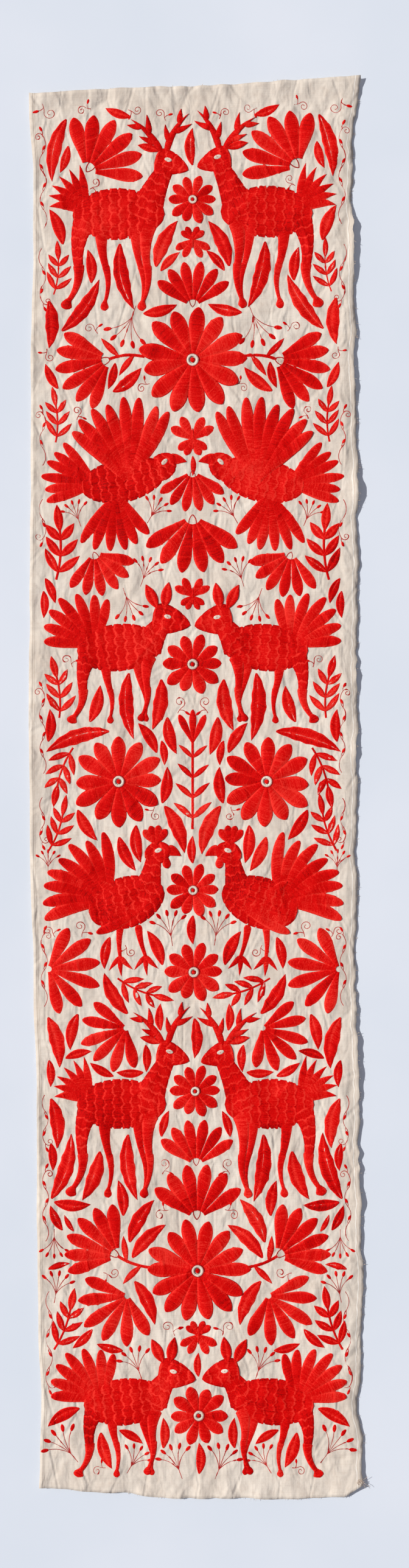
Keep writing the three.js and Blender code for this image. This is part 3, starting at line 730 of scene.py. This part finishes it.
def eye_on(head, along, aside, size=9.5):
    """A pale oval across a head with a red dot in it."""
    x, y, a = centre(head, along)
    x, y = x - aside * math.sin(a), y + aside * math.cos(a)
    back = 0.5 * size
    pupil = 0.15 * size
    return [
        Stroke(x - back * math.cos(a), y - back * math.sin(a), a / RAD, size, size * 0.72, 0, "eye"),
        Stroke(x - pupil * math.cos(a), y - pupil * math.sin(a), a / RAD, 2 * pupil, 1.8 * pupil, 0, "berry"),
    ]


def stag():
    head = Stroke(46, 80, -14, 44, 28, -8, "head")
    strokes = [
        *leg(-20, 0, -86, 56, 50, 24, 26),
        *leg(22, -2, -84, 54, 50, 20, 22),
        *fan(80, 166, 6, 54, 13, -46, 20, bend=26, kind="spike", taper=0.25),
        Stroke(-58, 9, 3, 116, 66, -4, "body"),
        *leg(-42, 4, -98, 60, 52, 31, 34),
        *leg(38, 0, -92, 56, 50, 24, 26),
        Stroke(30, 4, 70, 84, 50, -10, "limb"),
        head,
        *eye_on(head, 0.36, 3.5),
        Stroke(50, 90, 158, 27, 10, 12, "leaf"),
    ]
    for x, heading, bend in ((54, 116, 34), (60, 80, -40)):
        beam = Stroke(x, 88, heading, 58, 7, bend, "spike")
        strokes.append(beam)
        for t, turn, size in ((0.26, 44, 22), (0.5, -46, 24), (0.72, 42, 18)):
            bx, by, a = centre(beam, t)
            strokes.append(Stroke(bx, by, a / RAD + turn, size, 6.5, -turn * 0.4, "spike"))
    return strokes


def fox():
    head = Stroke(42, 50, -8, 50, 34, -8, "head")
    return [
        *leg(-18, 0, -84, 44, 40, 22, 24),
        *leg(22, 0, -80, 42, 40, 19, 22),
        *fan(66, 168, 7, 64, 15, -36, 12, bend=14, kind="feather", start=4, bow=0.16),
        Stroke(-56, 6, 4, 112, 62, 4, "body"),
        *leg(-40, 2, -100, 48, 42, 29, 36),
        *leg(38, 2, -94, 44, 40, 22, 28),
        Stroke(32, 8, 60, 60, 46, -10, "limb"),
        head,
        *eye_on(head, 0.38, 4),
        Stroke(48, 62, 116, 34, 14, 0, "leaf"),
        Stroke(57, 62, 80, 34, 14, 0, "leaf"),
    ]


def rooster():
    strokes = []
    for x, turn in ((-6, -100), (16, -86)):
        shank = Stroke(x, -20, turn, 44, 12, 20, "limb")
        fx, fy, _ = centre(shank, 0.92)
        strokes.append(shank)
        for toe, length in ((-136, 22), (-92, 24), (-50, 22)):
            strokes.append(Stroke(fx, fy, toe, length, 6.5, 12, "spike"))
    head = Stroke(24, 64, 20, 34, 28, 0, "berry")
    return [
        *strokes,
        *fan(74, 176, 8, 88, 16, -26, 6, bend=36, kind="feather", taper=0.12),
        Stroke(-46, -4, 10, 98, 64, 18, "body"),
        Stroke(24, 10, 74, 66, 42, 10, "limb"),
        head,
        *eye_on(head, 0.55, 2.5),
        Stroke(52, 74, -12, 19, 11, -28, "spike"),
        *fan(132, 56, 4, 24, 10, 38, 80),
        Stroke(50, 68, -84, 18, 10, 0, "petal"),
        *fan(158, 214, 5, 66, 12.5, 24, 2, bend=-12, kind="feather"),
    ]


def dove():
    head = Stroke(36, 10, 46, 40, 32, 0, "berry")
    return [
        *fan(226, 300, 6, 74, 14, -4, -8, bend=14, kind="feather", taper=0.14),
        *fan(128, 200, 6, 62, 13, -30, 4, kind="feather", bow=0.08),
        Stroke(-48, 0, 6, 106, 54, 14, "body"),
        head,
        *eye_on(head, 0.66, 2.5),
        Stroke(58, 34, 4, 22, 11, -26, "spike"),
        *fan(50, 132, 8, 98, 15.5, 6, 8, bend=14, kind="feather", taper=0.1, bow=0.08),
    ]


# name, strokes, distance from the middle line, place along it, scale
ANIMALS = [
    ("stag_top", stag(), 93, 711, 1),
    ("dove", dove(), 90, 377, 1.04),
    ("fox_upper", fox(), 91, 165, 0.97),
    ("rooster", rooster(), 85, -153, 1.01),
    ("stag_low", stag(), 93, -409, 0.97),
    ("fox_low", fox(), 91, -783, 0.96),
]
for name, strokes, dx, y, scale in ANIMALS:
    motif(f"{name}_left", placed(strokes, -dx, y, 0, scale))
    motif(f"{name}_right", placed(strokes, dx, y, 1.2 * wobble(dx + y), scale, True))


# Twigs and small leaves: what fills the ground between the large motifs, in the same red
# thread. They are too many and too small for the solids, so they are sewn on only here.
TWIG_LIFT = 0.05


def twig(length, pairs, size, bend):
    stem = Stroke(0, 0, 90 - bend / 2, length, 3.6, bend, "stem")
    strokes = [stem]
    for i in range(pairs):
        x, y, a = centre(stem, (i + 0.5) / (pairs + 0.2))
        for side in (-1, 1):
            s = size * (1 - 0.1 * i)
            strokes.append(Stroke(x, y, a / RAD + 48 * side, s, size * 0.34, -14 * side, "leaf"))
    x, y, a = centre(stem, 0.95)
    return [*strokes, Stroke(x, y, a / RAD, size, size * 0.36, 0, "leaf")]


# strokes, then rows of distance from the middle line, place along it, turn and scale
FILLERS = [
    (twig(57, 3, 30, 24), [
        (-95.8, -240.3, 245, 0.91), (-181.5, -706.9, 338, 0.98), (-150.2, 49.5, 158, 0.94),
        (-171.6, 260.7, 356, 1.13), (-181.2, -79.8, 339, 0.88), (-167.7, 87, 4, 0.94),
        (-172.2, 433.8, 360, 0.84), (-174.6, 621.2, 353, 0.82),
    ]),
    (leaf(58, 17, -34), [
        (0, -290.8, 180, 0.88), (-120.9, -457.9, 160, 1.14), (0, 781.9, 0, 0.82), (-46, 654.5, 335, 1.12),
        (-180.8, 613.2, 180, 1.04), (-83.7, -284.7, 30, 1.03), (-181.6, -391.7, 187, 1.1),
        (-79.4, -621.2, 205, 1.05), (-35.3, -23.9, 203, 1.12), (-81.6, -591.8, 315, 1.03),
        (-39.5, 135.5, 170, 1.12), (-84.9, -572.1, 330, 1.07), (-184, -289.5, 193, 1.13),
    ]),
    (leaf(42, 14, 28), [
        (0, -161.4, 180, 0.87), (-146.4, -285.5, 168, 1.1), (-38.4, -20.2, 352, 1.11),
        (-123.1, -811.6, 197, 1.13), (-129.5, 82, 344, 1.15), (-100.2, 497.6, 310, 1.12),
        (-144.3, -28.5, 212, 1.09), (-92.8, -539, 8, 1.08), (-61.9, 596.1, 285, 1.05), (0, -863.1, 0, 0.94),
        (-31.6, 87.8, 194, 1.14), (-45.2, 43.2, 32, 1.05), (-163.3, 685, 21, 1.13), (-70.9, -48, 187, 1.13),
        (-92.3, -62.7, 206, 1.13), (-127.5, 635.5, 6, 1.01), (-181.7, 57.2, 357, 0.98),
        (-39.4, -223.5, 24, 1.13), (-179.2, -521.6, 266, 1.1), (-104.8, -188.8, 170, 0.97),
    ]),
    (leaf(31, 10.5, -24), [
        (0, -95.7, 0, 1.12), (0, -741, 0, 0.97), (-77.7, 843.7, 70, 1.1), (-169.1, 501.8, 27, 1.14),
        (-182.5, -447.9, 184, 1.12), (-156.4, 809.1, 163, 1.14), (-61.6, -324.1, 181, 1.1),
        (0, 416.2, 180, 0.81), (-185.4, 262.4, 202, 1.1), (-39.1, 58.3, 187, 1.01),
        (-183.3, -343.2, 183, 1.1), (-169.3, -557, 26, 1.12), (-133.1, -681.4, 134, 1.12),
        (-43.2, -439.5, 344, 1.1),
    ]),
    (leaf(42, 14, 28), [
        (-150, -781, 120, 1.1), (-45, -831, 0, 0.92),
    ]),
    (leaf(31, 10.5, -24), [
        (-100, -808.5, 240, 1.1), (-65, -358.5, 90, 1.1), (-42.5, -306, 0, 1.1), (-40, 649, 315, 1.1),
        (-162.5, -341, 285, 1.1), (-102.5, -363.5, 60, 1.1), (-95, -708.5, 75, 1.1),
        (-97.5, 534, 165, 1.1), (-187.5, 246.5, 180, 1.1), (-187.5, -606, 285, 0.9),
        (-155, -558.5, 30, 0.77),
    ]),
]
fillers = []
row = len(FLOWERS)
for strokes, rows in FILLERS:
    for dx, y, turn, scale in rows:
        row += 1
        if dx == 0:
            fillers += placed(strokes, 0, y, turn, scale)
        else:
            left, right = both_sides(strokes, dx, y, turn, scale, row)
            fillers += left + right


# Tendrils and berries: single lines of dark thread that run out from nothing into a coil, or
# rise from one root, each with a drop-shaped berry in red thread at its end.
LINE = 1.8


def curl(size):
    strokes = []
    x, y, heading = 0.3 * size, -0.9 * size, 100
    for length, bend in ((0.7, -35), (1.1, 150), (0.85, 170), (0.45, 160)):
        strokes.append(Stroke(x, y, heading, length * size, LINE, bend, "tendril"))
        x, y, a = centre(strokes[-1], 1)
        heading = a / RAD
    x, y, a = centre(strokes[0], 0.45)
    stalk = Stroke(x, y, a / RAD - 45, 0.55 * size, LINE, -50, "tendril")
    x, y, a = centre(stalk, 0.9)
    return [*strokes, stalk, Stroke(x, y, a / RAD, 0.5 * size, 0.30 * size, 0, "berry")]


def berries(size, count=5, spread=96):
    strokes = [Stroke(0, -1.2 * size, 90, 0.6 * size, LINE, 0, "tendril")]
    for i in range(count):
        f = i / (count - 1) - 0.5
        stalk = Stroke(0, -0.62 * size, 90 + 0.4 * f * spread, 1.25 * size, LINE, 0.9 * f * spread, "tendril")
        x, y, a = centre(stalk, 0.97)
        strokes += [stalk, Stroke(x, y, a / RAD, 0.42 * size, 0.26 * size, 0, "berry")]
    return strokes


def vine(length):
    """A wavy line with a coil at its end, and a berry on a short stalk at each turn."""
    count = max(2, round(length / 22))
    strokes = []
    x, y, heading = 0, -length / 2, 52
    for i in range(count):
        side = 1 - 2 * (i % 2)
        strokes.append(Stroke(x, y, heading, 1.07 * length / count, LINE, 76 * side, "tendril"))
        x, y, a = centre(strokes[-1], 1)
        heading = a / RAD
        stalk = Stroke(x, y, heading - 64 * side, 5, LINE, 60 * side, "tendril")
        bx, by, a = centre(stalk, 0.9)
        strokes += [stalk, Stroke(bx, by, a / RAD, 7, 4.2, 0, "berry")]
    for reach, bend in ((11, 130), (8, 160), (5, 150)):
        strokes.append(Stroke(x, y, heading, reach, LINE, side * bend, "tendril"))
        x, y, a = centre(strokes[-1], 1)
        heading = a / RAD
    return strokes


# length or size of the free place, then distance from the middle line, place along it and turn
VINES = [
    (118, -188, 765, 1), (70, -188.5, 645, 182), (66, -188.5, 438, 0), (50, -188.5, 337, 180),
    (106, -188.5, 70, 1), (56, -189, -41, 180), (92, -188, -230, 0), (62, -189, -418, 181),
    (88, -190, -527, 0), (120, -187.5, -694, 180),
]
CURLS = [
    (12, -139.2, 853.6, 80), (12, -69.8, 852.2, 250), (12, -40.9, 847.8, 20), (12, -121.9, 762.4, 300),
    (13, -129.6, 578.3, 40), (12, -179.7, 541.8, 180), (12, -64, 502.2, 100), (12, -145, 473.5, 340),
    (13, -158.5, 160.5, 20), (15, -15.8, 106.6, 330), (12, -46.7, -36.1, 170), (14, -142, -174.9, 350),
    (12, -182.5, -180.7, 30), (12, -78.7, -207.7, 200), (14, -39.6, -473.7, 330), (13, -46.3, -537.4, 100),
    (14, -105, -610.6, 250), (12, -127.9, -859.3, 90), (16, -179.7, 850.5, 200),
    (15, -38.3, -678.1, 20),
]
SPRAYS = [
    (25, -81.4, 577.8, 160), (17, -46.7, 349.5, 330), (16, -146.9, 345.7, 20), (18, -58.2, 272.4, 340),
    (20, -79.4, 228, 200), (21, -30.2, -174.9, 10), (19, -176.5, -626.1, 350), (17, -179.8, -575.9, 180),
    (20, -79.1, -722.4, 20), (24, -170.3, -826.6, 40), (18, -79.7, -843.9, 330), (21, -29.6, -845.8, 20),
    (14, -181.9, -92, 0),
]
for make, rows in ((vine, VINES), (curl, CURLS), (berries, SPRAYS)):
    for k, (size, dx, y, turn) in enumerate(rows):
        for side in both_sides(make(size), dx, y, turn, 1, k):
            fillers += [one for one in side if one.kind != "tendril"]
            dark_marks += [(one, 0) for one in side if one.kind == "tendril"]
LOW = [one for one in fillers if one.y < 0]
HIGH = [one for one in fillers if one.y >= 0]
for name, strokes in (("small_leaves_low", LOW), ("small_leaves_high", HIGH)):
    embroider(name, strokes, [TWIG_LIFT] * len(strokes), red_thread)
dark_thread = thread_finish("dark_thread", colour(120, 12, 14), colour(180, 36, 34), colour(214, 84, 76))
embroider("dark_lines", *zip(*dark_marks), dark_thread)


# Pale marks: rings in the rosettes, eyes, and the half-moons that fan flowers grow from, in
# the cloth's own undyed cotton thread.
pale_thread = thread_finish(
    "undyed_thread", colour(176, 150, 132), colour(226, 208, 190), colour(246, 236, 222)
)
embroider("pale_marks", *zip(*pale_marks), pale_thread, "cotton")


# Frayed edges: warp and weft ends that have worked loose from the cut right side, some singly
# and some in tufts, a few at the two ends, and a small tangle at the lower right corner.
HAIR = 0.2
HAIRS = 330
END_HAIRS = 70
CLUSTERS = 40
KNOT_AT = (float(right_line(-873)) - 2, -873)
KNOT_LOOPS = 9
dice = np.random.default_rng(41)


def hair(bm, points, thick):
    """A loose thread through some points: short round pieces, each starting in the last one."""
    for a, b in zip(points, points[1:]):
        a, b = Vector(a), Vector(b)
        way = (b - a).normalized()
        turn = way.to_track_quat("Z", "Y").to_matrix().to_4x4()
        bmesh.ops.create_cone(
            bm, cap_ends=True, cap_tris=True, segments=4, radius1=thick * MM, radius2=0.75 * thick * MM,
            depth=(b - a).length * 1.12, matrix=Matrix.Translation((a + b) / 2) @ turn,
        )


def loose(bm, x, y, heading, length, thick=HAIR):
    """A loose end that leaves the cloth at a place, and droops as it goes."""
    start = on_cloth(x, y, -0.3)
    points = [start]
    lean = dice.uniform(-0.5, 0.5)
    for k in (1, 2, 3):
        a = heading + lean * k / 3
        step = np.array([math.cos(a), math.sin(a), dice.uniform(-0.35, 0.1)]) * length / 3 * MM
        points.append(points[-1] + step)
    for point in points:
        point[2] = max(point[2], 2 * thick * MM)
    hair(bm, points, thick)


bm = bmesh.new()
shade_layer = bm.verts.layers.float.new("shade")
clusters = dice.uniform(-870, 870, CLUSTERS)
for k in range(HAIRS):
    y = dice.uniform(-878, 884) if k % 3 else dice.choice(clusters) + dice.normal(0, 4)
    x = float(right_line(y)) - 1.0
    loose(bm, x, y, dice.normal(0, 0.55), dice.uniform(1.8, 4.6))
for k in range(END_HAIRS):
    x = dice.uniform(-200, 200)
    column, way = (1, -1) if k % 2 else (2, 1)
    y = float(between(ENDS, np.array(x), column)) - way * 1.3
    loose(bm, x, y, way * math.pi / 2 + dice.normal(0, 0.5), dice.uniform(1.6, 3.4))
centre_of_knot = on_cloth(*KNOT_AT, 0.6)
for k in range(KNOT_LOOPS):
    turn, size = dice.uniform(0, 6.28), dice.uniform(1.2, 3.4)
    sweep = dice.uniform(3, 6)
    hair(bm, [
        centre_of_knot + MM * np.array([
            size * math.cos(turn + sweep * t) - 0.5 * size * math.cos(turn),
            size * math.sin(turn + sweep * t) - 0.5 * size * math.sin(turn),
            0.6 * math.sin(5 * t + k),
        ])
        for t in np.linspace(0, 1, 7)
    ], 1.4 * HAIR)
for turn, length in ((-0.2, 13), (0.9, 11), (-1.1, 10), (2.2, 7)):
    loose(bm, *KNOT_AT, turn, length, 1.3 * HAIR)
for vert in bm.verts:
    vert[shade_layer] = 0.42
frayed_ends = finished(bm, "frayed_ends", pale_thread)


# The floor and the light: a plain pale floor, one bright lamp from the upper left, low enough
# to throw the lifted edge's shadow, and an even pale sky that fills the shadows.
floor_finish, shader, links, add = new_finish("pale_floor", 0.9)
place = add("ShaderNodeTexCoord").outputs["Object"]
haze = add("ShaderNodeTexNoise", {"Vector": place}, Scale=3.0, Detail=4.0)
links.new(
    mixed(add, ramped(add, haze.outputs[0], 0.3, 0.7), colour(223, 230, 239), colour(230, 235, 243)),
    shader.inputs["Base Color"],
)
bm = bmesh.new()
bmesh.ops.create_grid(bm, x_segments=1, y_segments=1, size=20)
mesh = bpy.data.meshes.new("floor")
bm.to_mesh(mesh)
bm.free()
mesh.materials.append(floor_finish)
floor = bpy.data.objects.new("floor", mesh)
scene.collection.objects.link(floor)

SUN_ELEVATION = 40
SUN_FROM = 163
SUN_STRENGTH = 3.5
SUN_ANGLE = 1.6
SKY_STRENGTH = 0.29
SKY_COLOUR = (0.86, 0.865, 1.0, 1)
sun = bpy.data.lights.new("sun", "SUN")
sun.energy = SUN_STRENGTH
sun.color = (1.0, 0.985, 0.96)
sun.angle = SUN_ANGLE * RAD
lamp = bpy.data.objects.new("sun", sun)
direction = Vector((
    math.cos(SUN_ELEVATION * RAD) * math.cos(SUN_FROM * RAD),
    math.cos(SUN_ELEVATION * RAD) * math.sin(SUN_FROM * RAD),
    math.sin(SUN_ELEVATION * RAD),
))
lamp.rotation_euler = direction.to_track_quat("Z", "Y").to_euler()
scene.collection.objects.link(lamp)
world = bpy.data.worlds.new("sky")
world.use_nodes = True
world.node_tree.nodes["Background"].inputs["Color"].default_value = SKY_COLOUR
world.node_tree.nodes["Background"].inputs["Strength"].default_value = SKY_STRENGTH
scene.world = world
scene.view_settings.view_transform = "Standard"


# The camera: straight above the cloth, as in the photograph, and far enough back for the
# whole length with a strip of floor all round.
VIEW_LENGTH = 1.9732
VIEW_CENTRE = (0.011, 0.0039)
LENS = 50
SENSOR = 36
camera = bpy.data.objects.new("camera", bpy.data.cameras.new("camera"))
camera.data.lens = LENS
camera.data.sensor_width = SENSOR
camera.location = (*VIEW_CENTRE, VIEW_LENGTH * LENS / SENSOR)
scene.collection.objects.link(camera)
scene.camera = camera
